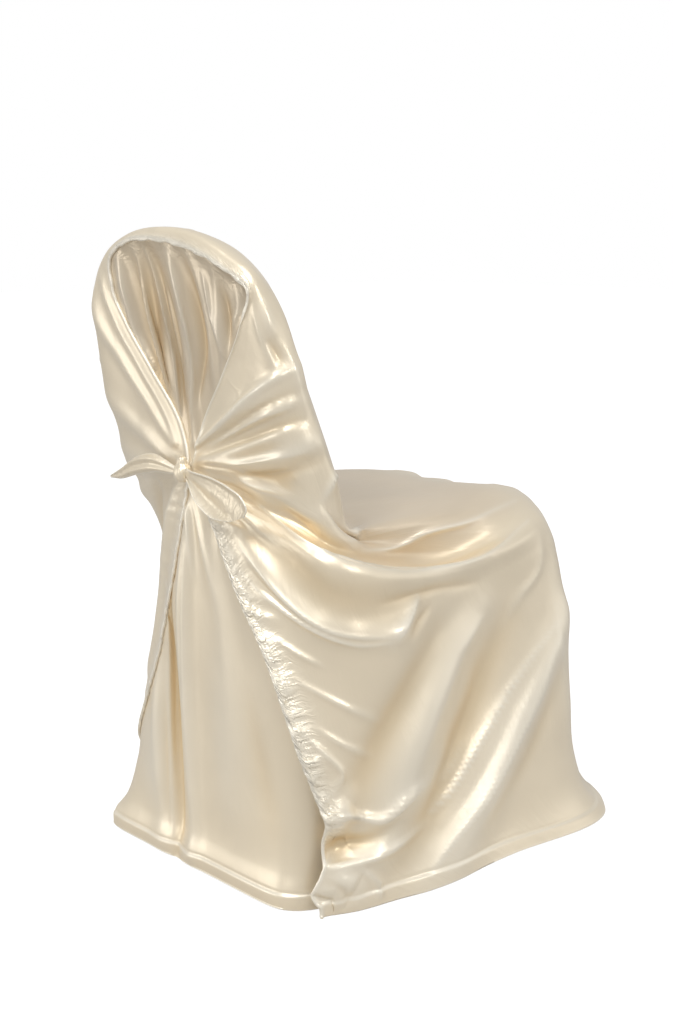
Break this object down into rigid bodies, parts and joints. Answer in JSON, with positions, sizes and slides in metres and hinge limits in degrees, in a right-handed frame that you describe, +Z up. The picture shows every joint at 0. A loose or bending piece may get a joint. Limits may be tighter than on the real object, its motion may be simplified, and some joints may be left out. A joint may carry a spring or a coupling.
{
  "type": "self-tie chair cover with sash",
  "caption": "Draped satin cover for a high-backed chair, gathered under a rolled rim at the back and tied there with a knot and free ends.",
  "frame": {"origin": "the underside of the hood's crown on the centre plane, where the cover hangs from the chair back's top", "axes": "+Z up, -Y towards the front of the seat, +X across, to the left of a person who sits on it"},
  "size_m": [0.5738, 0.7379, 0.921],
  "materials": {
    "cover_satin": "shiny champagne satin",
    "sash_satin": "shiny champagne satin"
  },
  "bodies": {
    "root": {"cover_body": "cover_satin", "back_panel": "cover_satin", "sash_knot": "sash_satin", "sash_tail_left": "sash_satin", "sash_tail_right": "sash_satin"}
  },
  "joints": []
}
